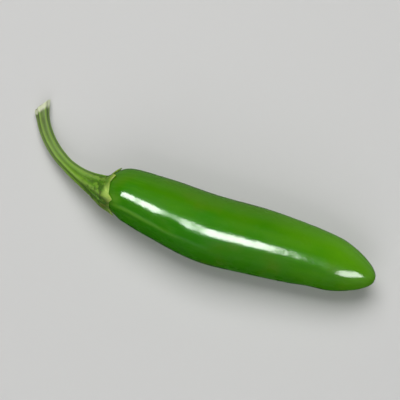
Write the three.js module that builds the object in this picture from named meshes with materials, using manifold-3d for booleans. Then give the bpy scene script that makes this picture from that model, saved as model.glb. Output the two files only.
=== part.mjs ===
// A fresh green chilli pepper, picked and lying on its side: the hollow fruit's closed outer form
// (the pod), and the stem that grew in one piece with its calyx, the ribbed cup on the pod's shoulder.
// Millimetres, +Z up. The pod runs along +X to its tip, and the stem hooks towards +Y.
import * as THREE from 'three';
import { mergeVertices } from 'three/addons/utils/BufferGeometryUtils.js';
import Module from 'manifold-3d';

const wasm = await Module();
wasm.setup();

// Pod. Distances along it are counted from the shoulder, positive towards the tip.
const podLength = 81;
const bellyRadius = 10;
const bellyPlace = 34; // where the pod is thickest
const shoulderRadius = 6.6;
const tipRadius = 7.95; // where the blunt tip starts to round off
const tipRounding = 14; // length of the rounded tip
const domeHeight = 1; // how far the pod reaches up inside the calyx
const domeRounding = 7; // length over which the dome opens out into the shoulder
const podLobes = 3; // seed chambers, which show as soft lobes
const bellyLobeDepth = 0.012; // as a share of the radius
const shoulderLobeDepth = 0.035;
const lobeFade = 22; // length over which the shoulder's lobes die away

// The pod's lie: a shallow sideways bow, and a tip that droops a little.
const podBow = 1.9;
const tipDroop = 1.2;
const podBend = [[0.08, -0.33], [0.2, 0.25], [0.38, 1], [0.58, 0.6], [0.8, 0.38], [1, 0.7]]; // [share of length, of bow]

// Stem. It leaves the calyx almost straight, then hooks sideways and comes down to the table.
const stemLength = 36.2;
const stemRadius = 1.65;
const stemEndRadius = 2; // a little swollen where it left the branch
const stemEndSwelling = 5; // length of that swelling
const stemLean = THREE.MathUtils.degToRad(8);
const stemTurn = THREE.MathUtils.degToRad(66);
const stemTurnGrowth = 1.25; // over 1, the stem turns faster towards its end
const snapBack = 0.3; // slopes of the broken end: back from its underside to its top,
const snapAcross = 0.85; // and from the outside of the hook to its inside
const sinkStart = 12; // the stem's fall to the table starts this far along the pod

// Calyx
const calyxRibs = 6; // each rib ends in a tooth on the rim
const calyxRimPlace = 1.7;
const calyxWall = 0.6;
const flareLength = 15; // length over which the stem widens into the calyx
const flareShape = [[0, 0], [0.33, 0.13], [0.58, 0.31], [0.78, 0.54], [0.9, 0.8], [1, 1]]; // [share of length, share of widening]
const ribHeight = 0.16;
const toothLength = 0.8;
const toothStart = 0.3; // the teeth stretch the cup from here to its rim
const cupDepth = 4; // the calyx takes up the shoulder's lobes over this length
const calyxClearance = 0.3; // between the calyx and the pod

// How it lies on the table
const restDepth = 0.1; // how far the belly and the stem's end are pressed flat

// Facets
const podRings = 50;
const podSides = 40;
const stemRings = 26;
const cupRings = 11;
const stemSides = 36;

const up = new THREE.Vector3(0, 0, 1);
const bellyBottom = bellyRadius * (1 - bellyLobeDepth);
const podAxisHeight = bellyBottom - restDepth;
const stemEndHeight = stemEndRadius - restDepth;

const smooth = (share) => THREE.MathUtils.smoothstep(share, 0, 1);

// ---- Pod outline -------------------------------------------------------------------------------

function podBodyRadius(place) {
  if (place < bellyPlace) {
    return bellyRadius - (bellyRadius - shoulderRadius) * ((bellyPlace - place) / bellyPlace) ** 1.8;
  }
  const share = (place - bellyPlace) / (podLength - tipRounding - bellyPlace);
  return bellyRadius - (bellyRadius - tipRadius) * share ** 2;
}

function podRadius(place) {
  const intoDome = THREE.MathUtils.clamp((domeRounding - domeHeight - place) / domeRounding, 0, 1);
  const intoTip = THREE.MathUtils.clamp((place - podLength + tipRounding) / tipRounding, 0, 1);
  return podBodyRadius(place) * Math.sqrt(1 - intoDome ** 2) * Math.sqrt(1 - intoTip ** 2);
}

// Places along the pod, closer together where its ends round off.
function podPlaces() {
  const places = [];
  for (let ring = 0; ring <= podRings; ring++) {
    const share = (1 - Math.cos((Math.PI * ring) / podRings)) / 2;
    const even = ring / podRings;
    places.push(-domeHeight + (podLength + domeHeight) * THREE.MathUtils.lerp(share, even, 0.15));
  }
  return places;
}

// Lobes stand at the top and low on both sides, so the pod lies on the flat between two of them.
function lobeFactor(place, angle) {
  const fade = 1 - smooth(place / lobeFade);
  const depth = THREE.MathUtils.lerp(bellyLobeDepth, shoulderLobeDepth, fade);
  return 1 - depth * Math.sin(podLobes * angle);
}

// ---- Spine: one curve through the stem, the calyx and the pod ------------------------------------

// Height of the spine's points over the table, place being counted from the shoulder.
function spineHeight(place) {
  if (place < sinkStart) {
    const fall = smooth((sinkStart - place) / (sinkStart + stemLength));
    return THREE.MathUtils.lerp(podAxisHeight, stemEndHeight, fall);
  }
  const share = Math.max(0, (place - bellyPlace) / (podLength - bellyPlace));
  return podAxisHeight - tipDroop * share ** 2;
}

// The stem's plan, walked in short steps from the calyx to its end while its heading turns.
function stemPlan() {
  const steps = 120;
  const pointEvery = 12;
  const step = stemLength / steps;
  const plan = [];
  let x = 0;
  let y = 0;
  for (let i = 0; i < steps; i++) {
    const heading = stemLean + stemTurn * ((i + 0.5) / steps) ** stemTurnGrowth;
    x -= step * Math.cos(heading);
    y += step * Math.sin(heading);
    if ((i + 1) % pointEvery === 0) {
      plan.push(new THREE.Vector3(x, y, spineHeight(-(i + 1) * step)));
    }
  }
  return plan;
}

const stemPoints = stemPlan().reverse();
const podPoints = podBend.map(([share, bow]) => {
  return new THREE.Vector3(share * podLength, -bow * podBow, spineHeight(share * podLength));
});
const shoulderPoint = new THREE.Vector3(0, 0, spineHeight(0));
const spine = new THREE.CatmullRomCurve3([...stemPoints, shoulderPoint, ...podPoints]);

// Lengths along the spine, measured from its stem end.
const divisionsEach = 40;
spine.arcLengthDivisions = divisionsEach * (stemPoints.length + podPoints.length);
const spineLengths = spine.getLengths();
const spineLength = spineLengths[spine.arcLengthDivisions];
const shoulderAt = spineLengths[divisionsEach * stemPoints.length];

// Wraps a lathe's vertices around the spine: its own axis, Y, becomes the distance along the spine.
function wrapAroundSpine(geometry, reshape) {
  const position = geometry.getAttribute('position');
  for (let i = 0; i < position.count; i++) {
    const radius = Math.hypot(position.getX(i), position.getZ(i));
    const angle = Math.atan2(position.getX(i), position.getZ(i));
    const shaped = reshape(position.getY(i), radius, angle);
    const along = (shaped.place + shoulderAt) / spineLength;
    const tangent = spine.getTangentAt(THREE.MathUtils.clamp(along, 0, 1));
    const side = new THREE.Vector3().crossVectors(up, tangent).normalize();
    const top = new THREE.Vector3().crossVectors(tangent, side);
    const point = spinePoint(along, tangent);
    point.addScaledVector(side, shaped.radius * Math.cos(angle));
    point.addScaledVector(top, shaped.radius * Math.sin(angle));
    position.setXYZ(i, point.x, point.y, point.z);
  }
  return geometry;
}

// A point on the spine, or straight on past one of its ends.
function spinePoint(along, tangent) {
  const inside = THREE.MathUtils.clamp(along, 0, 1);
  return spine.getPointAt(inside).addScaledVector(tangent, (along - inside) * spineLength);
}

// ---- Solids ----------------------------------------------------------------------------------------

function toSolid(geometry) {
  const bare = geometry.clone();
  bare.deleteAttribute('normal');
  bare.deleteAttribute('uv');
  const merged = mergeVertices(bare, 1e-4);
  const vertProperties = new Float32Array(merged.getAttribute('position').array);
  const triVerts = new Uint32Array(merged.index.array);
  return new wasm.Manifold(new wasm.Mesh({ numProp: 3, vertProperties, triVerts }));
}

// Cuts away whatever lies below the table, z = 0.
function restOnTable(geometry) {
  const size = 2 * (podLength + stemLength);
  const table = new THREE.BoxGeometry(2 * size, 2 * size, size);
  table.translate(0, 0, -size / 2);
  const mesh = toSolid(geometry).subtract(toSolid(table)).getMesh();
  const cut = new THREE.BufferGeometry();
  cut.setAttribute('position', new THREE.BufferAttribute(mesh.vertProperties, 3));
  cut.setIndex(new THREE.BufferAttribute(mesh.triVerts, 1));
  cut.computeVertexNormals();
  return cut;
}

function makePod() {
  const outline = podPlaces().map((place) => new THREE.Vector2(podRadius(place), place));
  outline[0].x = 0;
  outline[podRings].x = 0;
  const lathe = new THREE.LatheGeometry(outline, podSides);
  wrapAroundSpine(lathe, (place, radius, angle) => ({ place, radius: radius * lobeFactor(place, angle) }));
  return restOnTable(lathe);
}

// ---- Stem and calyx ------------------------------------------------------------------------------

const rimRadius = podRadius(calyxRimPlace) + calyxClearance + calyxWall;
const flareCurve = new THREE.SplineCurve(flareShape.map(([along, share]) => new THREE.Vector2(along, share)));

// From the broken end, out along the stem and the flare to the calyx rim.
function stemOutline() {
  const outline = [new THREE.Vector2(0, -stemLength)];
  const straightRings = stemRings / 2;
  for (let ring = 0; ring < straightRings; ring++) {
    const fromEnd = ((stemLength - flareLength) * ring) / straightRings;
    const swelling = 1 - smooth(fromEnd / stemEndSwelling);
    outline.push(new THREE.Vector2(THREE.MathUtils.lerp(stemRadius, stemEndRadius, swelling), fromEnd - stemLength));
  }
  for (let ring = 0; ring <= straightRings; ring++) {
    const flare = flareCurve.getPoint(ring / straightRings);
    const place = -flareLength + (flareLength + calyxRimPlace) * flare.x;
    outline.push(new THREE.Vector2(THREE.MathUtils.lerp(stemRadius, rimRadius, flare.y), place));
  }
  return outline;
}

// Back under the rim: the pod's dome, held off by the clearance, measured square to its surface.
function cupOutline() {
  const outline = [];
  for (let ring = 0; ring < cupRings; ring++) {
    const share = 1 - ring / cupRings;
    const place = -domeHeight + (domeHeight + calyxRimPlace) * share ** 2;
    const step = 0.01;
    const slope = (podRadius(place + step) - podRadius(place)) / step;
    const square = Math.hypot(1, slope);
    const outward = calyxClearance / square;
    outline.push(new THREE.Vector2(podRadius(place) + outward, place - outward * slope));
  }
  outline.push(new THREE.Vector2(0, -domeHeight - calyxClearance));
  return outline;
}

// Ribs run the whole length of the stem and stretch the cup's rim into teeth.
function ribbed(place, radius, angle, isOutside) {
  const ridge = Math.cos(calyxRibs * angle);
  const intoTeeth = smooth((place - toothStart) / (calyxRimPlace - toothStart));
  const stretched = place + toothLength * intoTeeth * ((1 + ridge) / 2) ** 2;
  const onPod = radius + podRadius(stretched) - podRadius(place);
  const lobed = onPod * (lobeFactor(stretched, angle) - 1);
  const lobe = isOutside ? lobed * smooth((place + cupDepth) / cupDepth) : lobed;
  const rib = isOutside ? ribHeight * ridge * Math.min(1, radius / stemRadius) * (1 - intoTeeth / 2) : 0;
  const slant = snapBack * Math.sin(angle) - snapAcross * Math.cos(angle);
  const snap = slant * radius * (1 - smooth((place + stemLength) / stemEndSwelling));
  return { place: stretched + snap, radius: onPod + lobe + rib };
}

function makeStemAndCalyx() {
  const outside = stemOutline();
  const outline = [...outside, ...cupOutline()];
  const lathe = new THREE.LatheGeometry(outline, stemSides);
  const position = lathe.getAttribute('position');
  const outsideEnd = outside.length;
  let vertex = 0;
  wrapAroundSpine(lathe, (place, radius, angle) => {
    const isOutside = vertex % outline.length < outsideEnd;
    vertex += 1;
    return ribbed(place, radius, angle, isOutside);
  });
  return restOnTable(lathe);
}

// ---- The pepper ----------------------------------------------------------------------------------

const podSkin = new THREE.MeshStandardMaterial({ color: 0x3d7808, roughness: 0.22, metalness: 0 });
const stemSkin = new THREE.MeshStandardMaterial({ color: 0x6f9140, roughness: 0.6, metalness: 0 });

function addPart(group, name, geometry, material) {
  const mesh = new THREE.Mesh(geometry, material);
  mesh.name = name;
  group.add(mesh);
}

const pepper = new THREE.Group();
addPart(pepper, 'pod', makePod(), podSkin);
addPart(pepper, 'stem_and_calyx', makeStemAndCalyx(), stemSkin);

// The origin is the middle of the footprint, on the table.
const footprint = new THREE.Box3().setFromObject(pepper);
pepper.position.x = -(footprint.min.x + footprint.max.x) / 2;
pepper.position.y = -(footprint.min.y + footprint.max.y) / 2;

export default pepper;
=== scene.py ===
import math

import bpy
from mathutils import Matrix, Vector


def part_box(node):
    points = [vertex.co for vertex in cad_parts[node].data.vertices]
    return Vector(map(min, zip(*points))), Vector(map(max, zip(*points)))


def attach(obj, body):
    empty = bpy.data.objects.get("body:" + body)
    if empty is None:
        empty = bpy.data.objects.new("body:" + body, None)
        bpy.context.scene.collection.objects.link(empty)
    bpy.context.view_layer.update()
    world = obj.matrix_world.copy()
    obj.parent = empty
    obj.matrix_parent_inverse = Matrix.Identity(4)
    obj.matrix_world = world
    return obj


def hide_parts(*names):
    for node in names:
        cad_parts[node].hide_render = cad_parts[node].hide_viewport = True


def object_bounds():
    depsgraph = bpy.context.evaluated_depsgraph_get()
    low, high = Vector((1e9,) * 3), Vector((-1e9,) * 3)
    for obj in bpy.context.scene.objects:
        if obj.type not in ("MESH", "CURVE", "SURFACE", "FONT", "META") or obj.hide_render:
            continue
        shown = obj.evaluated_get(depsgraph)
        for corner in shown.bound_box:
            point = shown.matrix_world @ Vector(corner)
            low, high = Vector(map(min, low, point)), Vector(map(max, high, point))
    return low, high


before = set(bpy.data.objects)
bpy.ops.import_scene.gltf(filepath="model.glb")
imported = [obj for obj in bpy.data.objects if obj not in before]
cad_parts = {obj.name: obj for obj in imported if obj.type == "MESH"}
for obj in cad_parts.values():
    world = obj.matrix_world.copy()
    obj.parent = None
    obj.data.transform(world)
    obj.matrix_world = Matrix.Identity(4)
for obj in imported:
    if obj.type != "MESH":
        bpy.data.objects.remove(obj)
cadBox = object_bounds()
mm = 0.001

# The studio: angles in degrees, lengths in metres. A lamp leans from overhead by "along" towards
# the pepper's tip and by "across" towards its near side. A glint is a lamp that only the gloss
# shows, and the other lamps don't show in the gloss at all.
studio = {
    "azimuth": 17.8,
    "elevation": 78,
    "distance": 0.62,
    "lens": 195,
    "nearestSeen": 0.01,
    "lamps": {
        "softLamp": {"along": -10, "across": -22, "size": (0.8, 0.7), "watts": 9.2, "glint": False},
        "fillLamp": {"along": 10, "across": 50, "size": (0.8, 0.7), "watts": 3.1, "glint": False},
        "topGlint": {"along": -13.4, "across": 26, "size": (0.9, 0.4), "watts": 26.8, "glint": True},
        "tipGlint": {"along": 58, "across": 45, "size": (0.7, 0.4), "watts": 10, "glint": True,
                     "turn": 30, "shape": "ELLIPSE"},
        "edgeGlint": {"along": -62, "across": 80, "size": (0.5, 0.2), "watts": 0.1, "glint": True},
    },
    "lampDistance": 1.0,
    "horizonGlow": 0.16,
    "overheadGlow": 0.02,
    "nearSideGlow": 0.6,  # each as a share of the glow on the opposite side
    "tipSideGlow": 1.6,
    "farSideDark": 0.1,  # how much of the glow is lost below the horizon
    "nearSideDark": 0.9,
    "floorSize": 1.8,
    "floorColour": (0.62, 0.62, 0.61, 1),
    "floorRoughness": 0.9,
}


def direction(azimuth, elevation):
    a, e = math.radians(azimuth), math.radians(elevation)
    return Vector((math.sin(a) * math.cos(e), -math.cos(a) * math.cos(e), math.sin(e)))


def makeCamera():
    back = direction(studio["azimuth"], studio["elevation"])
    camera = bpy.data.objects.new("camera", bpy.data.cameras.new("camera"))
    bpy.context.scene.collection.objects.link(camera)
    camera.data.lens = studio["lens"]
    camera.data.clip_start = studio["nearestSeen"]
    camera.location = middle + back * studio["distance"]
    camera.rotation_euler = back.to_track_quat("Z", "Y").to_euler()
    bpy.context.scene.camera = camera


middle = (cadBox[0] + cadBox[1]) / 2
makeCamera()
print("camera placed")

markStep = 0.001 * mm  # an outline's z holds what kind of surface it is, in steps too small to matter
mergeDistance = 0.0008 * mm  # closes a grid at its seam and poles


# plain sums
def clamp(value):
    return min(1, max(0, value))


def smooth(value):
    share = clamp(value)
    return share * share * (3 - 2 * share)


def blend(first, second, share):
    return first + (second - first) * share


def throughPoints(points, steps):
    # a smooth line through the points, as a list with that many steps between each two
    ends = [points[0] * 2 - points[1], *points, points[-1] * 2 - points[-2]]
    line = []
    for before, first, second, after in zip(ends, ends[1:], ends[2:], ends[3:]):
        for step in range(steps):
            t = step / steps
            line.append(0.5 * (2 * first + (second - before) * t
                               + (2 * before - 5 * first + 4 * second - after) * t ** 2
                               + (3 * first - before - 3 * second + after) * t ** 3))
    return [*line, points[-1]]


def curveObject(name, points):
    # a line of straight steps, for the node trees to sample
    curve = bpy.data.curves.new(name, "CURVE")
    curve.dimensions = "3D"
    spline = curve.splines.new("POLY")
    spline.points.add(len(points) - 1)
    for point, place in zip(spline.points, points):
        point.co = (*place, 1)
    made = bpy.data.objects.new(name, curve)
    bpy.context.scene.collection.objects.link(made)
    return made


# a value inside a node tree, so that a formula reads as a plain sum
class Field:
    def __init__(self, tree, socket):
        self.tree = tree
        self.socket = socket

    def __add__(self, other):
        return calc("ADD", self, other)

    def __radd__(self, other):
        return calc("ADD", other, self)

    def __sub__(self, other):
        return calc("SUBTRACT", self, other)

    def __rsub__(self, other):
        return calc("SUBTRACT", other, self)

    def __mul__(self, other):
        return calc("MULTIPLY", self, other)

    def __rmul__(self, other):
        return calc("MULTIPLY", other, self)

    def __truediv__(self, other):
        return calc("DIVIDE", self, other)

    def __pow__(self, other):
        return calc("POWER", self, other)


def plug(tree, socket, value):
    if isinstance(value, Field):
        tree.links.new(value.socket, socket)
    else:
        socket.default_value = value


def addNode(tree, kind, settings=None, **inputs):
    # a node with its settings and its inputs; an input's name is written in camelCase
    node = tree.nodes.new(kind)
    for name, value in (settings or {}).items():
        setattr(node, name, value)
    for name, value in inputs.items():
        wanted = name.lower()
        socket = next(s for s in node.inputs if s.enabled and s.name.replace(" ", "").lower() == wanted)
        plug(tree, socket, value)
    return node


def calc(operation, *values):
    tree = next(value.tree for value in values if isinstance(value, Field))
    node = addNode(tree, "ShaderNodeMath", {"operation": operation})
    for socket, value in zip(node.inputs, values):
        plug(tree, socket, value)
    return Field(tree, node.outputs[0])


def vectorCalc(operation, *values, scale=None):
    tree = next(value.tree for value in values if isinstance(value, Field))
    node = addNode(tree, "ShaderNodeVectorMath", {"operation": operation})
    for socket, value in zip(node.inputs, values):
        plug(tree, socket, value)
    if scale is not None:
        plug(tree, node.inputs["Scale"], scale)
    return Field(tree, node.outputs[0])


def ease(value, low, high, first=0, last=1):
    # goes smoothly from first to last as value goes from low to high
    node = addNode(value.tree, "ShaderNodeMapRange", {"interpolation_type": "SMOOTHSTEP"},
                   value=value, fromMin=low, fromMax=high, toMin=first, toMax=last)
    return Field(value.tree, node.outputs[0])


def easeOver(value, span, first=0, last=1):
    # the same over a span in millimetres
    low, high = span
    return ease(value, low * mm, high * mm, first, last)


def parts(field):
    node = addNode(field.tree, "ShaderNodeSeparateXYZ", vector=field)
    return [Field(field.tree, node.outputs[axis]) for axis in "XYZ"]


def combine(tree, x, y, z):
    return Field(tree, addNode(tree, "ShaderNodeCombineXYZ", x=x, y=y, z=z).outputs[0])


def noise(spot, size, seed, detail=2):
    # goes about from -1 to 1, with patches of about that size in millimetres
    node = addNode(spot.tree, "ShaderNodeTexNoise", {"noise_dimensions": "4D"}, vector=spot, w=seed,
                   scale=1 / (size * mm), detail=detail, roughness=0.5)
    return Field(spot.tree, node.outputs["Fac"]) * 2 - 1


def fromAxis(spot):
    # how far the spot is from the piece's own axis
    x, y, _ = parts(spot)
    return calc("SQRT", x * x + y * y)


def grained(spot, grain, seed, detail=2):
    # noise that runs lengthwise; a grain is the radius of the cylinder that it is laid on, the share
    # that its length is shrunk to, and the size of its patches, with both sizes in millimetres
    girth, share, size = grain
    x, y, place = parts(spot)
    radius = fromAxis(spot) + 0.001 * mm  # never 0, so that the axis itself is safe
    laid = combine(spot.tree, x * (girth * mm) / radius, y * (girth * mm) / radius, place * share)
    return noise(laid, size, seed, detail)


def bellAt(spot, place, angle, length, width):
    # 1 at one spot of the skin, going down to 0 over that length and width in millimetres
    x, y, along = parts(spot)
    turned = math.radians(angle)
    across = (x * math.sin(turned) - y * math.cos(turned)) / (width * mm)
    lengthways = (along - place * mm) / (length * mm)
    away = calc("SQRT", lengthways * lengthways + across * across)
    sideShare = (x * math.cos(turned) + y * math.sin(turned)) / fromAxis(spot)
    return ease(away, 1, 0) * ease(sideShare, 0, 0.3)  # none of it on the opposite side


def makeTree(name, sizes):
    tree = bpy.data.node_groups.new(name, "GeometryNodeTree")
    tree.is_modifier = True
    tree.interface.new_socket(name="Geometry", in_out="OUTPUT", socket_type="NodeSocketGeometry")
    kinds = {bpy.types.Object: "Object", bpy.types.Material: "Material", int: "Int", float: "Float"}
    for label, value in sizes.items():
        kind = next(kinds[known] for known in kinds if isinstance(value, known))
        tree.interface.new_socket(name=label, in_out="INPUT", socket_type="NodeSocket" + kind)
    source = tree.nodes.new("NodeGroupInput")
    return tree, {label: Field(tree, source.outputs[label]) for label in sizes}


def sampleCurve(tree, curve, mode, **at):
    shape = addNode(tree, "GeometryNodeObjectInfo", object=curve)
    node = addNode(tree, "GeometryNodeSampleCurve", {"mode": mode},
                   curves=Field(tree, shape.outputs["Geometry"]), **at)
    return Field(tree, node.outputs["Position"]), Field(tree, node.outputs["Tangent"])


def storeMap(geometry, name, value):
    settings = {"data_type": "FLOAT_VECTOR", "domain": "POINT"}
    node = addNode(geometry.tree, "GeometryNodeStoreNamedAttribute", settings,
                   geometry=geometry, name=name, value=value)
    return Field(geometry.tree, node.outputs[0])


def skinSpot(tree):
    node = addNode(tree, "GeometryNodeInputNamedAttribute", {"data_type": "FLOAT_VECTOR"}, name="skinMap")
    return Field(tree, node.outputs[0])


def wrapOutline(tree, given, reshape):
    # a grid whose rows follow the outline and whose columns go round the spine, closed at its seam and
    # poles; skinMap holds each spot's place on the piece as if its spine were straight
    grid = addNode(tree, "GeometryNodeMeshGrid", verticesX=given["Rings"], verticesY=given["Sides"] + 1)
    along, around, _ = parts(Field(tree, grid.outputs["UV Map"]))
    point, _ = sampleCurve(tree, given["Outline"], "FACTOR", factor=along)
    radius, place, mark = parts(point)
    angle = around * math.tau
    across, upward = calc("COSINE", angle), calc("SINE", angle)
    straight = combine(tree, radius * across, radius * upward, place)
    radius, place, zones = reshape(radius, place, mark / markStep, angle, straight)
    centre, tangent = sampleCurve(tree, given["Spine"], "LENGTH", length=place + given["Shoulder at"])
    side = vectorCalc("NORMALIZE", vectorCalc("CROSS_PRODUCT", (0, 0, 1), tangent))
    top = vectorCalc("CROSS_PRODUCT", tangent, side)
    spot = vectorCalc("ADD", centre, vectorCalc("SCALE", side, scale=radius * across))
    spot = vectorCalc("ADD", spot, vectorCalc("SCALE", top, scale=radius * upward))
    geometry = Field(tree, addNode(tree, "GeometryNodeSetPosition", position=spot,
                                   geometry=Field(tree, grid.outputs["Mesh"])).outputs[0])
    geometry = storeMap(geometry, "skinMap", straight)
    if zones:
        geometry = storeMap(geometry, "zones", zones)
    merged = addNode(tree, "GeometryNodeMergeByDistance", geometry=geometry, distance=mergeDistance)
    outward = addNode(tree, "GeometryNodeFlipFaces", mesh=Field(tree, merged.outputs[0]))
    return Field(tree, outward.outputs[0])


def pushOut(geometry, height):
    # moves the surface along its own normal
    tree = geometry.tree
    normal = Field(tree, addNode(tree, "GeometryNodeInputNormal").outputs[0])
    offset = vectorCalc("SCALE", normal, scale=height)
    return Field(tree, addNode(tree, "GeometryNodeSetPosition", geometry=geometry, offset=offset).outputs[0])


def restOnTable(geometry):
    # flattens what would reach below the table
    tree = geometry.tree
    x, y, z = parts(Field(tree, addNode(tree, "GeometryNodeInputPosition").outputs[0]))
    spot = combine(tree, x, y, calc("MAXIMUM", z, 0))
    return Field(tree, addNode(tree, "GeometryNodeSetPosition", geometry=geometry, position=spot).outputs[0])


def finishTree(geometry, skin):
    tree = geometry.tree
    shaded = addNode(tree, "GeometryNodeSetShadeSmooth", geometry=geometry)
    real = addNode(tree, "GeometryNodeRealizeInstances", geometry=Field(tree, shaded.outputs[0]))
    painted = addNode(tree, "GeometryNodeSetMaterial", geometry=Field(tree, real.outputs[0]), material=skin)
    target = tree.nodes.new("NodeGroupOutput")
    tree.links.new(painted.outputs[0], target.inputs["Geometry"])


def growPiece(name, tree, sizes):
    # runs the tree once and keeps the result as a plain mesh
    piece = bpy.data.objects.new(name, bpy.data.meshes.new(name))
    bpy.context.scene.collection.objects.link(piece)
    modifier = piece.modifiers.new("grow", "NODES")
    modifier.node_group = tree
    for item in tree.interface.items_tree:
        if item.in_out == "INPUT":
            modifier[item.identifier] = sizes[item.name]
    bpy.context.view_layer.update()
    grown = bpy.data.meshes.new_from_object(piece.evaluated_get(bpy.context.evaluated_depsgraph_get()))
    piece.modifiers.clear()
    piece.data = grown
    grown.name = name
    grown.materials.clear()  # the tree leaves an empty slot before its own
    grown.materials.append(sizes["Skin"])
    return piece


def newSkin(name):
    skin = bpy.data.materials.new(name)
    skin.use_nodes = True
    tree = skin.node_tree
    return skin, tree, tree.nodes["Principled BSDF"]


def readMap(tree, name):
    node = addNode(tree, "ShaderNodeAttribute", {"attribute_name": name})
    return Field(tree, node.outputs["Vector"])


def mixColours(share, first, second):
    tree = share.tree
    node = addNode(tree, "ShaderNodeMix", {"data_type": "RGBA"})
    plug(tree, node.inputs[0], share)
    plug(tree, node.inputs[6], first)
    plug(tree, node.inputs[7], second)
    return Field(tree, node.outputs[2])


def addBump(tree, shader, height, depth):
    # relief too fine for the mesh: height goes from -1 to 1, depth is in millimetres
    bump = addNode(tree, "ShaderNodeBump", strength=1, distance=depth * mm, height=height)
    tree.links.new(bump.outputs[0], shader.inputs["Normal"])
    tree.links.new(bump.outputs[0], shader.inputs["Coat Normal"])


def hangLamp(name, along, across, size, watts, glint, turn=0, shape="RECTANGLE"):
    back = Vector((math.tan(math.radians(along)), -math.tan(math.radians(across)), 1)).normalized()
    lamp = bpy.data.lights.new(name, "AREA")
    lamp.shape = shape
    lamp.size, lamp.size_y = size
    lamp.energy = watts
    made = bpy.data.objects.new(name, lamp)
    made.location = middle + back * studio["lampDistance"]
    lengthways = (Vector((1, 0, 0)) - back * back.x).normalized()
    facing = Matrix((lengthways, back.cross(lengthways), back)).transposed()
    made.rotation_euler = (facing @ Matrix.Rotation(math.radians(turn), 3, "Z")).to_euler()
    made.visible_diffuse = not glint
    made.visible_glossy = glint
    bpy.context.scene.collection.objects.link(made)


def layFloor():
    bpy.ops.mesh.primitive_plane_add(size=studio["floorSize"])
    floor = bpy.context.object
    floor.name = "paleFloor"
    paper, _, shader = newSkin("palePaper")
    shader.inputs["Base Color"].default_value = studio["floorColour"]
    shader.inputs["Roughness"].default_value = studio["floorRoughness"]
    floor.data.materials.append(paper)
    floor.visible_glossy = False  # the gloss shows a dark room below, as if among other peppers


def lightRoom():
    # a dim room, brighter low down and beyond the pepper's far side and tip, and dark below the
    # horizon on the near side; its directions go from -1 to 1
    world = bpy.data.worlds.new("studioRoom")
    bpy.context.scene.world = world
    world.use_nodes = True
    tree = world.node_tree
    room = addNode(tree, "ShaderNodeTexCoord")
    tipSide, farSide, height = parts(Field(tree, room.outputs["Generated"]))
    glow = ease(height, 0.05, 0.6, studio["horizonGlow"], studio["overheadGlow"])
    glow *= ease(farSide, -0.9, 0.9, studio["nearSideGlow"], 1)
    glow *= ease(tipSide, 0, 0.7, 1, studio["tipSideGlow"])
    darkBelow = ease(farSide, 0.5, -0.4, studio["farSideDark"], studio["nearSideDark"])
    glow *= 1 - ease(height, -0.06, -0.25) * darkBelow
    plug(tree, tree.nodes["Background"].inputs["Color"], combine(tree, glow, glow, glow))


for lampName, lampSettings in studio["lamps"].items():
    hangLamp(lampName, **lampSettings)
layFloor()
lightRoom()
bpy.context.scene.view_settings.view_transform = "Standard"
print("studio lit")

# The pod. Lengths are in millimetres; places are counted from the shoulder towards the tip and
# angles go round from the far side over the top, in degrees.
pod = {
    "length": 81,
    "bellyRadius": 10,
    "bellyPlace": 34,
    "shoulderRadius": 6.6,
    "tipRadius": 7.95,
    "tipRounding": 14,
    "domeHeight": 1,
    "domeRounding": 7,
    "bow": 1.9,
    "bend": [(0.08, -0.33), (0.2, 0.25), (0.38, 1), (0.58, 0.6), (0.8, 0.38), (1, 0.7)],
    "tipDroop": 1.2,
    "restDepth": 0.1,
    "lobes": 3,
    "bellyLobes": 0.012,
    "shoulderLobes": 0.035,
    "lobeFade": 22,
    "swellHeight": 0.16,
    "swellSize": 13,
    "creaseHeight": 0.045,
    "creaseGrain": (9, 0.2, 3),
    "wrinkleHeight": 0.038,
    "wrinkleGrain": (9, 0.8, 1.3),
    "puckerHeight": 0.1,
    "puckerGrain": (6, 0.1, 1.9),
    "puckerSpan": (3, 11),
    "reliefStart": 6,  # from the calyx rim to here the relief grows from nothing
    "seam": {"angle": 136, "height": 0.15, "width": 2.3, "length": 24},
    "dents": [
        {"place": 21.5, "angle": 122, "length": 5, "width": 3.4, "depth": 0.26},
        {"place": 52, "angle": 42, "length": 7, "width": 4, "depth": 0.16},
        {"place": 63, "angle": 196, "length": 6, "width": 4, "depth": 0.18},
    ],
    "dullPatches": [
        {"place": 21.2, "angle": 108, "length": 6, "width": 6, "share": 1.25},
        {"place": 28.5, "angle": 108, "length": 4.5, "width": 5, "share": 0.75},
        {"place": 10.5, "angle": 106, "length": 1.7, "width": 1.7, "share": 0.6},
        {"place": 61, "angle": 106, "length": 11, "width": 5, "share": 0.85},
        {"place": 52, "angle": 60, "length": 9, "width": 3, "share": 0.5},
        {"place": 38, "angle": 230, "length": 12, "width": 5, "share": 0.5},
    ],
    "scarRadius": 1.1,
    "scarDepth": 0.28,
    "nubHeight": 1.1,  # a share of the scar's depth
    "nubSharpness": 2.4,
    "rings": 420,
    "sides": 190,
    "seed": 4,
}

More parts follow.
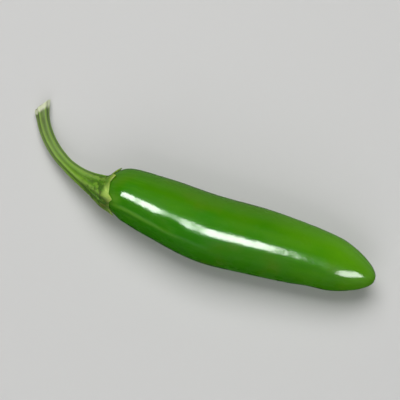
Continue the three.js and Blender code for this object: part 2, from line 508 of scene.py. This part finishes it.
podPaint = {
    "green": (0.055, 0.245, 0.0006, 1),
    # deepGreen is the darker green of the pod's mottle, and also the painted shade on its near side
    "deepGreen": (0.026, 0.21, 0.0005, 1),
    "farGreen": (0.07, 0.225, 0.002, 1),
    "tipGreen": (0.105, 0.345, 0.003, 1),
    "olive": (0.095, 0.215, 0.006, 1),
    # streak is the pale green of the skin's streaks and specks, and also of the painted highlight along the
    # seam
    "streak": (0.11, 0.33, 0.015, 1),
    "scar": (0.3, 0.24, 0.1, 1),
    "patchSize": 12,
    "mottleGrain": (9, 0.14, 1.8),
    "oliveSize": 8,
    "streakGrain": (9, 0.14, 0.9),
    "speckSize": 0.7,
    "farSpan": (-1, 9),  # spans run across the pod towards the far side, or along it to the tip
    "nearSpan": (-3, -9),
    "nearSpanAlong": (28, 58),
    "tipSpan": (48, 82),
    "streakSpan": (3, 26),
    "scarSpan": (76, 79),
    "scarEdge": (0.95, 0.45),  # from the scar's rim inwards
    "scarPatchSize": 0.5,
    "seamStreaks": [
        {"place": 8, "fromSeam": 0, "length": 24, "width": 1.2},
        {"place": 3.4, "fromSeam": -17, "length": 3.6, "width": 2.2},
    ],
    "scuffGrain": (9, 0.5, 2.6),
    "roughness": (0.2, 0.42),
    "reflection": 0.08,
    "refraction": 1.46,
    "gloss": 0.4,
    "glossRoughness": 0.12,
    "glossRefraction": 1.85,
    "filmGrain": (9, 0.14, 1.4),
    "dullBlotchSize": 1.1,
    "mostDullness": 0.85,
    "fineReliefSize": 0.6,
    "fineRelief": 0.013,
}

# The stem and its calyx, in millimetres and degrees. Places are counted from the shoulder as the
# pod's are, so they are below zero along the stem.
stem = {
    "length": 36.2,
    "radius": 1.65,
    "endRadius": 2,
    "endSwelling": 5,
    "lean": 8,
    "turn": 66,
    "turnGrowth": 1.25,
    "snapBack": 0.3,
    "snapAcross": 0.85,
    "sinkStart": 12,
    "flareLength": 15,
    "flare": [(0, 0), (0.33, 0.13), (0.58, 0.31), (0.78, 0.54), (0.9, 0.8), (1, 1)],
    "rimPlace": 1.7,
    "wall": 0.38,
    "clearance": 0.12,
    "ribs": 6,
    "stemRibHeight": 0.42,
    "calyxRibHeight": 0.4,
    "veinHeight": 0.14,
    "ribMiddle": 0.42,  # the share of a rib's height that lies below the smooth surface
    "stemRibPower": 1.2,  # the higher the power, the narrower the ribs
    "calyxRibPower": 3.2,
    "calyxSpan": (-10, -1),
    "ribWander": 0.2,
    "wanderSpan": (-3, -12),
    "wanderGrain": (1.6, 0.25, 2.5),
    "growthGrain": (1.6, 0.06, 1.9),
    "toothGrain": (5, 0, 2.2),
    "toothStart": 0.2,
    "toothLength": 1.1,
    "rimWave": 0.3,
    "rimCurl": 0.16,
    "curlSpan": (-1.1, 0.1),  # these four spans are counted from the rim
    "ribEndSpan": (-1.2, 0),
    "veinEndSpan": (-2.5, 0),
    "rimSpan": (-1.3, 0),
    "cupDepth": 4,
    "fibreHeight": 0.06,
    "fibreGrain": (2.6, 0.09, 0.6),
    "wrinkleHeight": 0.3,
    "wrinkleSize": 1.5,
    "wrinkleSpan": (-9, -3),
    "breakHeight": 0.34,
    "breakSpan": (0, 0.7),  # counted from the broken end
    "breakSize": 0.6,
    "breakGrain": (2, 0, 0.45),
    "rings": 460,
    "sides": 168,
    "seed": 9,
}

stemPaint = {
    "end": (0.14, 0.19, 0.06, 1),
    "middle": (0.2, 0.32, 0.075, 1),
    "neck": (0.16, 0.34, 0.02, 1),
    # farSide is a painted sheen on the stem's far side
    "farSide": (0.13, 0.21, 0.075, 1),
    "calyx": (0.07, 0.215, 0.004, 1),
    # this is the painted shade in the grooves, and the darker fibres and blotches
    "groove": (0.04, 0.095, 0.006, 1),
    # ridge is the painted highlight along the ribs, and the paler fibres
    "ridge": (0.25, 0.42, 0.06, 1),
    "speck": (0.2, 0.42, 0.025, 1),
    "olive": (0.16, 0.13, 0.012, 1),
    "rim": (0.36, 0.49, 0.065, 1),
    "bleached": (0.5, 0.74, 0.13, 1),
    # broken is the pale dry end of the stem, and the painted light on the far side of its broken face
    "broken": (0.8, 0.84, 0.6, 1),
    # painted shade on the near side of the broken face
    "pith": (0.3, 0.33, 0.16, 1),
    "fibreGrain": (2.6, 0.09, 0.42),
    "blotchSize": 1.5,
    "speckSize": 1.1,
    "oliveSize": 2.4,
    "rimPatchSize": 4,
    "pithSize": 0.5,
    "lumpSize": 0.8,
    "scratchSize": 0.28,
    "middleSpan": (-34, -22),  # spans run along the stem, or across it towards the far side
    "neckSpan": (-22, -10),
    "calyxSpan": (-9, -2),
    "oliveSpan": (-3.5, 0.6),
    "dryEndSpan": (-33.6, -35),
    "farSpan": (0.2, 1.6),
    "pithSpan": (-1.2, 0.9),
    "bleachedSpot": {"beforeRim": 0.5, "angle": 102, "length": 1.7, "width": 3.4},
    "roughness": (0.38, 0.6),
    "reflection": 0.22,
    "fineRelief": 0.18,
}

podLow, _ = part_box("pod")
shoulder = Vector((podLow.x + pod["domeHeight"] * mm,
                   podLow.y + (pod["bow"] + pod["bellyRadius"]) * mm, 0))
axisHeight = pod["bellyRadius"] * (1 - pod["bellyLobes"]) - pod["restDepth"]
endHeight = stem["endRadius"] - pod["restDepth"]


def spineHeight(place):
    if place < stem["sinkStart"]:
        fall = smooth((stem["sinkStart"] - place) / (stem["sinkStart"] + stem["length"]))
        return blend(axisHeight, endHeight, fall)
    share = max(0, (place - pod["bellyPlace"]) / (pod["length"] - pod["bellyPlace"]))
    return axisHeight - pod["tipDroop"] * share ** 2


def spineLine():
    # one line through the stem and the pod, and how far along it the shoulder is, in millimetres;
    # it runs on past the stem's end, so that the slanted break still has a line to follow
    steps, pointEvery, spare, between = 130, 13, 1.08, 24
    step = stem["length"] * spare / steps
    x = y = 0
    stemPoints = []
    for i in range(steps):
        turned = ((i + 0.5) / steps * spare) ** stem["turnGrowth"]
        heading = math.radians(stem["lean"] + stem["turn"] * turned)
        x -= step * math.cos(heading)
        y += step * math.sin(heading)
        if (i + 1) % pointEvery == 0:
            stemPoints.append(Vector((x, y, spineHeight(-(i + 1) * step))))
    podPoints = [Vector((share * pod["length"], -bow * pod["bow"], spineHeight(share * pod["length"])))
                 for share, bow in [(0, 0), *pod["bend"]]]
    line = throughPoints([*reversed(stemPoints), *podPoints], between)
    toShoulder = line[:len(stemPoints) * between + 1]
    return line, sum((b - a).length for a, b in zip(toShoulder, toShoulder[1:]))


spinePoints, shoulderAt = spineLine()
spine = curveObject("spine", [point * mm + shoulder for point in spinePoints])


def podBodyRadius(place):
    belly = pod["bellyRadius"]
    if place < pod["bellyPlace"]:
        share = (pod["bellyPlace"] - place) / pod["bellyPlace"]
        return belly - (belly - pod["shoulderRadius"]) * share ** 1.8
    share = (place - pod["bellyPlace"]) / (pod["length"] - pod["tipRounding"] - pod["bellyPlace"])
    return belly - (belly - pod["tipRadius"]) * share ** 2


def podRadius(place):
    intoDome = clamp((pod["domeRounding"] - pod["domeHeight"] - place) / pod["domeRounding"])
    intoTip = clamp((place - pod["length"] + pod["tipRounding"]) / pod["tipRounding"])
    return podBodyRadius(place) * math.sqrt(1 - intoDome ** 2) * math.sqrt(1 - intoTip ** 2)


def podOutline():
    # from the dome under the calyx to the tip, where the flower has left a small dished scar
    count, evenness = 400, 0.12  # the points lie closer together at both ends
    line = []
    for i in range(count + 1):
        share = blend((1 - math.cos(math.pi * i / count)) / 2, i / count, evenness)
        place = blend(-pod["domeHeight"], pod["length"], share)
        radius = podRadius(place) if 0 < i < count else 0
        atScar = 1 - radius / pod["scarRadius"] if i > count / 2 else 0
        nub = pod["nubHeight"] * smooth(1 - pod["nubSharpness"] * (1 - atScar))
        dish = pod["scarDepth"] * (smooth(atScar) - nub)
        line.append(Vector((radius * mm, (place - dish) * mm, 0)))
    return line


def makePodSkin():
    paint = podPaint
    skin, tree, shader = newSkin("podSkin")
    spot = readMap(tree, "skinMap")
    x, _, place = parts(spot)
    patches = noise(spot, paint["patchSize"], 3)

    mottle = patches * 0.5 + grained(spot, paint["mottleGrain"], 5, detail=3) * 0.45
    colour = mixColours(ease(mottle, -0.45, 0.4), paint["deepGreen"], paint["green"])
    # painted sheen: the far side is painted a greyer green
    farSide = easeOver(x + patches * 4 * mm, paint["farSpan"], 0, 0.8)
    colour = mixColours(farSide, colour, paint["farGreen"])
    # painted shade: the near side is painted deep green, less so towards the tip
    nearShade = easeOver(x + patches * 3 * mm, paint["nearSpan"], 0, 0.75)
    nearShade *= easeOver(place, paint["nearSpanAlong"], 1, 0.35)
    colour = mixColours(nearShade, colour, paint["deepGreen"])
    olive = ease(noise(spot, paint["oliveSize"], 43), 0.05, 0.5, 0, 0.45)
    colour = mixColours(olive, colour, paint["olive"])
    toTip = easeOver(place + x * 1.2 + patches * 9 * mm, paint["tipSpan"], 0, 0.95)
    colour = mixColours(toTip, colour, paint["tipGreen"])

    streaksAndSeamHighlights = ease(grained(spot, paint["streakGrain"], 17, detail=3), 0.05, 0.5)
    streaksAndSeamHighlights *= easeOver(place, paint["streakSpan"], 0.4, 0.08)
    # painted highlight: pale green lines along the seam ridge and at its start, added to the skin's own pale
    # streaks
    for streak in paint["seamStreaks"]:
        angle = pod["seam"]["angle"] + streak["fromSeam"]
        streaksAndSeamHighlights += bellAt(spot, streak["place"], angle, streak["length"], streak["width"]) * 0.9
    colour = mixColours(streaksAndSeamHighlights, colour, paint["streak"])
    specks = ease(noise(spot, paint["speckSize"], 23, detail=1), 0.42, 0.6) * 0.22
    colour = mixColours(specks, colour, paint["streak"])
    ragged = noise(spot, paint["scarPatchSize"], 2) * 0.25 * mm
    scar = easeOver(fromAxis(spot) + ragged, paint["scarEdge"])
    colour = mixColours(scar * easeOver(place, paint["scarSpan"]), colour, paint["scar"])
    plug(tree, shader.inputs["Base Color"], colour)

    scuffs = grained(spot, paint["scuffGrain"], 11, detail=4)
    plug(tree, shader.inputs["Roughness"], ease(scuffs, -0.3, 0.5, *paint["roughness"]))
    shader.inputs["Specular IOR Level"].default_value = paint["reflection"]
    shader.inputs["IOR"].default_value = paint["refraction"]
    shader.inputs["Coat Roughness"].default_value = paint["glossRoughness"]
    shader.inputs["Coat IOR"].default_value = paint["glossRefraction"]
    dullness = ease(grained(spot, paint["filmGrain"], 29, detail=3), 0.15, 0.6, 0, 0.35)
    blotches = ease(noise(spot, paint["dullBlotchSize"], 37, detail=3), -0.5, 0.4, 1.1, 0.6)
    for patch in pod["dullPatches"]:
        bell = bellAt(spot, patch["place"], patch["angle"], patch["length"], patch["width"])
        dullness += bell * blotches * patch["share"]
    shine = 1 - calc("MINIMUM", dullness, paint["mostDullness"])
    plug(tree, shader.inputs["Coat Weight"], shine * paint["gloss"])
    addBump(tree, shader, noise(spot, paint["fineReliefSize"], 13, detail=3), paint["fineRelief"])
    return skin


def makePod():
    outline = curveObject("podOutline", podOutline())
    sizes = {
        "Outline": outline,
        "Spine": spine,
        "Shoulder at": shoulderAt * mm,
        "Skin": makePodSkin(),
        "Rings": pod["rings"],
        "Sides": pod["sides"],
        "Lobes": pod["lobes"],
        "Belly lobes": pod["bellyLobes"],
        "Shoulder lobes": pod["shoulderLobes"],
        "Lobe fade": pod["lobeFade"] * mm,
        "Swell height": pod["swellHeight"] * mm,
        "Crease height": pod["creaseHeight"] * mm,
        "Wrinkle height": pod["wrinkleHeight"] * mm,
        "Pucker height": pod["puckerHeight"] * mm,
        "Seam height": pod["seam"]["height"] * mm,
        "Seed": float(pod["seed"]),
    }
    tree, given = makeTree("growPod", sizes)

    def lobed(radius, place, mark, angle, straight):
        depth = ease(place, 0, given["Lobe fade"], given["Shoulder lobes"], given["Belly lobes"])
        return radius * (1 - depth * calc("SINE", angle * given["Lobes"])), place, None

    body = wrapOutline(tree, given, lobed)
    spot = skinSpot(tree)
    _, _, place = parts(spot)
    seed = given["Seed"]
    relief = noise(spot, pod["swellSize"], seed, detail=1) * given["Swell height"]
    relief += grained(spot, pod["creaseGrain"], seed + 1) * given["Crease height"]
    relief += grained(spot, pod["wrinkleGrain"], seed + 2) * given["Wrinkle height"]
    puckers = grained(spot, pod["puckerGrain"], seed + 3) * easeOver(place, pod["puckerSpan"], 1, 0)
    relief += puckers * given["Pucker height"]
    seam = bellAt(spot, 0, pod["seam"]["angle"], pod["seam"]["length"], pod["seam"]["width"])
    relief += seam * given["Seam height"]
    for dent in pod["dents"]:
        hollow = bellAt(spot, dent["place"], dent["angle"], dent["length"], dent["width"])
        relief -= hollow * dent["depth"] * mm
    free = easeOver(place, (stem["rimPlace"], pod["reliefStart"]))  # none of it is under the calyx
    body = restOnTable(pushOut(body, relief * free))
    finishTree(body, given["Skin"])
    piece = growPiece("pepperPod", tree, sizes)
    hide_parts("pod")
    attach(piece, "root")
    bpy.data.objects.remove(outline)
    return piece


podPiece = makePod()
print("pod grown", len(podPiece.data.polygons))

# what kind of surface a point of the stem's outline is on
onBreak, inCup, onLip, onOutside = -1, 0, 0.6, 1


def stemOutline():
    breakSteps, stemSteps, flareSteps, lipSteps, cupSteps = 24, 80, 16, 8, 40
    rim = podRadius(stem["rimPlace"]) + stem["clearance"] + stem["wall"]
    end = -stem["length"]
    line = [(stem["endRadius"] * i / breakSteps, end, onBreak) for i in range(breakSteps)]
    straight = stem["length"] - stem["flareLength"]
    for i in range(stemSteps):
        fromEnd = straight * i / stemSteps
        swelling = 1 - smooth(fromEnd / stem["endSwelling"])
        line.append((blend(stem["radius"], stem["endRadius"], swelling), end + fromEnd, onOutside))
    for share, widening in throughPoints([Vector(pair) for pair in stem["flare"]], flareSteps):
        place = blend(-stem["flareLength"], stem["rimPlace"], share)
        line.append((blend(stem["radius"], rim, widening), place, onOutside))
    half = stem["wall"] / 2
    for i in range(1, lipSteps):  # the rounded lip
        turn = math.pi * i / lipSteps
        line.append((rim - half + half * math.cos(turn), stem["rimPlace"] + half * math.sin(turn), onLip))
    for i in range(cupSteps):  # back inside, held off the pod's dome
        place = blend(-pod["domeHeight"], stem["rimPlace"], (1 - i / cupSteps) ** 2)
        ahead = 0.01
        slope = (podRadius(place + ahead) - podRadius(place)) / ahead
        outward = stem["clearance"] / math.hypot(1, slope)
        line.append((podRadius(place) + outward, place - outward * slope, inCup))
    line.append((0, -pod["domeHeight"] - stem["clearance"], inCup))
    return [Vector((radius * mm, place * mm, mark * markStep)) for radius, place, mark in line]


def makeStemSkin():
    paint = stemPaint
    skin, tree, shader = newSkin("stemSkin")
    spot = readMap(tree, "skinMap")
    x, _, place = parts(spot)
    mark, ridge, rim = parts(readMap(tree, "zones"))
    fibres = grained(spot, paint["fibreGrain"], 21, detail=3)
    blotches = noise(spot, paint["blotchSize"], 33, detail=3)

    colour = mixColours(easeOver(place, paint["middleSpan"]), paint["end"], paint["middle"])
    colour = mixColours(easeOver(place, paint["neckSpan"]), colour, paint["neck"])
    onCalyx = easeOver(place + blotches * 3 * mm, paint["calyxSpan"])
    colour = mixColours(onCalyx, colour, paint["calyx"])
    # painted sheen: the stem's far side is painted grey-green, but not the calyx
    farSide = easeOver(x + fibres * mm, paint["farSpan"], 0, 0.6) * (1 - onCalyx)
    colour = mixColours(farSide, colour, paint["farSide"])

    # painted shade in the grooves between the ribs and a painted highlight along the ribs, then the fibres'
    # own darker and paler streaks
    colour = mixColours(ease(ridge, 0.45, 0, 0, 0.45), colour, paint["groove"])
    colour = mixColours(ease(ridge, 0.5, 0.95, 0, 0.6), colour, paint["ridge"])
    colour = mixColours(ease(fibres, -0.05, -0.5, 0, 0.4), colour, paint["groove"])
    colour = mixColours(ease(fibres, 0.15, 0.5, 0, 0.35), colour, paint["ridge"])
    colour = mixColours(ease(blotches, 0, 0.3) * onCalyx * 0.75, colour, paint["groove"])
    specks = ease(noise(spot, paint["speckSize"], 31, detail=3), 0.05, 0.35)
    colour = mixColours(specks * (onCalyx * 0.65 + 0.15), colour, paint["speck"])
    olive = ease(noise(spot, paint["oliveSize"], 61, detail=3), 0, 0.4)
    olive *= easeOver(place, paint["oliveSpan"], 0, 0.75)
    colour = mixColours(olive, colour, paint["olive"])

    paleRim = ease(rim + fibres * 0.3 + blotches * 0.3, 0.3, 1)
    paleRim *= ease(noise(spot, paint["rimPatchSize"], 51), -0.25, 0.3, 0.15, 0.95)
    colour = mixColours(paleRim, colour, paint["rim"])
    # a bright pale spot on the calyx just before its rim, near the top
    patch = paint["bleachedSpot"]
    patchPlace = stem["rimPlace"] - patch["beforeRim"]
    bleached = bellAt(spot, patchPlace, patch["angle"], patch["length"], patch["width"])
    colour = mixColours(bleached * (blotches * 0.4 + 0.9), colour, paint["bleached"])
    dryEnd = easeOver(place + fibres * 0.8 * mm, paint["dryEndSpan"], 0, 0.75)
    colour = mixColours(dryEnd, colour, paint["broken"])
    # painted light and shade on the broken end: paler on its far side, darker on its near side
    tornLitSide = x + noise(spot, paint["pithSize"], 41, detail=3) * 1.2 * mm
    torn = mixColours(easeOver(tornLitSide, paint["pithSpan"]), paint["pith"], paint["broken"])
    colour = mixColours(ease(mark + fibres * 0.1, -0.4, -0.8), colour, torn)
    plug(tree, shader.inputs["Base Color"], colour)

    plug(tree, shader.inputs["Roughness"], ease(blotches + fibres, -0.6, 0.6, *paint["roughness"]))
    shader.inputs["Specular IOR Level"].default_value = paint["reflection"]
    lumps = noise(spot, paint["lumpSize"], 27, detail=3) * onCalyx
    scratches = noise(spot, paint["scratchSize"], 25)
    addBump(tree, shader, fibres * 0.2 + scratches * 0.08 + lumps, paint["fineRelief"])
    return skin


def makeStem():
    outline = curveObject("stemOutline", stemOutline())
    rimPlace = stem["rimPlace"]
    sizes = {
        "Outline": outline,
        "Spine": spine,
        "Shoulder at": shoulderAt * mm,
        "Skin": makeStemSkin(),
        "Rings": stem["rings"],
        "Sides": stem["sides"],
        "Stem length": stem["length"] * mm,
        "End radius": stem["endRadius"] * mm,
        "End swelling": stem["endSwelling"] * mm,
        "Snap back": float(stem["snapBack"]),
        "Snap across": float(stem["snapAcross"]),
        "Ribs": stem["ribs"],
        "Stem rib height": stem["stemRibHeight"] * mm,
        "Calyx rib height": stem["calyxRibHeight"] * mm,
        "Vein height": stem["veinHeight"] * mm,
        "Rib wander": float(stem["ribWander"]),
        "Tooth start": stem["toothStart"] * mm,
        "Tooth length": stem["toothLength"] * mm,
        "Rim place": rimPlace * mm,
        "Rim wave": stem["rimWave"] * mm,
        "Rim curl": stem["rimCurl"] * mm,
        "Rim slope": podRadius(rimPlace + 1) - podRadius(rimPlace),
        "Cup depth": stem["cupDepth"] * mm,
        "Lobes": pod["lobes"],
        "Lobe depth": float(pod["shoulderLobes"]),
        "Fibre height": stem["fibreHeight"] * mm,
        "Wrinkle height": stem["wrinkleHeight"] * mm,
        "Break height": stem["breakHeight"] * mm,
        "Seed": float(stem["seed"]),
    }
    tree, given = makeTree("growStem", sizes)
    seed = given["Seed"]

    def ribbed(radius, place, mark, angle, straight):
        rimPlace = given["Rim place"]
        outside = ease(mark, inCup, onLip)
        onEnd = ease(mark, -0.4, -0.6)
        calyxShare = easeOver(place, stem["calyxSpan"])
        wander = grained(straight, stem["wanderGrain"], seed) * given["Rib wander"]
        wander *= easeOver(place, stem["wanderSpan"])
        growth = grained(straight, stem["growthGrain"], seed + 6) + 1
        share = (calc("COSINE", (angle + wander) * given["Ribs"]) + 1) / 2
        ridge = share ** ease(calyxShare, 0, 1, stem["stemRibPower"], stem["calyxRibPower"])
        edge = radius / given["End radius"]
        stands = outside + onEnd * edge * edge
        height = ease(calyxShare, 0, 1, given["Stem rib height"], given["Calyx rib height"])
        fromRim = place - rimPlace
        rib = height * growth * (ridge - stem["ribMiddle"]) * stands
        rib *= easeOver(fromRim, stem["ribEndSpan"], 1, 0.3)
        vein = (1 - share) ** 5 * stands * calyxShare * easeOver(fromRim, stem["veinEndSpan"], 1, 0)
        rib += given["Vein height"] * vein
        intoTeeth = ease(place, given["Tooth start"], rimPlace)
        uneven = grained(straight, stem["toothGrain"], seed + 1)
        tooth = share ** 5 * (0.95 + uneven * 1.2)
        reach = intoTeeth * (given["Tooth length"] * tooth + given["Rim wave"] * uneven)
        curl = easeOver(fromRim, stem["curlSpan"]) * given["Rim curl"] * (0.5 + tooth)
        lobe = radius * calc("SINE", angle * given["Lobes"]) * given["Lobe depth"]
        lobe *= ease(place, -1 * given["Cup depth"], 0)
        fromEnd = place + given["Stem length"]
        snap = given["Snap back"] * calc("SINE", angle) - given["Snap across"] * calc("COSINE", angle)
        snap *= radius * ease(fromEnd, 0, given["End swelling"], 1, 0)
        atEnd = easeOver(fromEnd, stem["breakSpan"], 1, 0)
        ragged = grained(straight, stem["breakGrain"], seed + 2) * edge ** 3
        ragged += noise(straight, stem["breakSize"], seed + 3, detail=3)
        shapedRadius = radius + reach * given["Rim slope"] + curl + rib - lobe
        shapedPlace = place + reach + snap - ragged * atEnd * given["Break height"]
        zones = combine(tree, mark, share, easeOver(fromRim, stem["rimSpan"]))
        return shapedRadius, shapedPlace, zones

    body = wrapOutline(tree, given, ribbed)
    spot = skinSpot(tree)
    _, _, place = parts(spot)
    relief = grained(spot, stem["fibreGrain"], seed + 4, detail=3) * given["Fibre height"]
    crinkles = 0.2 - calc("ABSOLUTE", noise(spot, stem["wrinkleSize"], seed + 5, detail=3))
    relief += crinkles * easeOver(place, stem["wrinkleSpan"]) * given["Wrinkle height"]
    body = restOnTable(pushOut(body, relief))
    finishTree(body, given["Skin"])
    piece = growPiece("stemAndCalyx", tree, sizes)
    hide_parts("stem_and_calyx")
    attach(piece, "root")
    bpy.data.objects.remove(outline)
    return piece


stemPiece = makeStem()
bpy.data.objects.remove(spine)
print("stem and calyx grown", len(stemPiece.data.polygons))
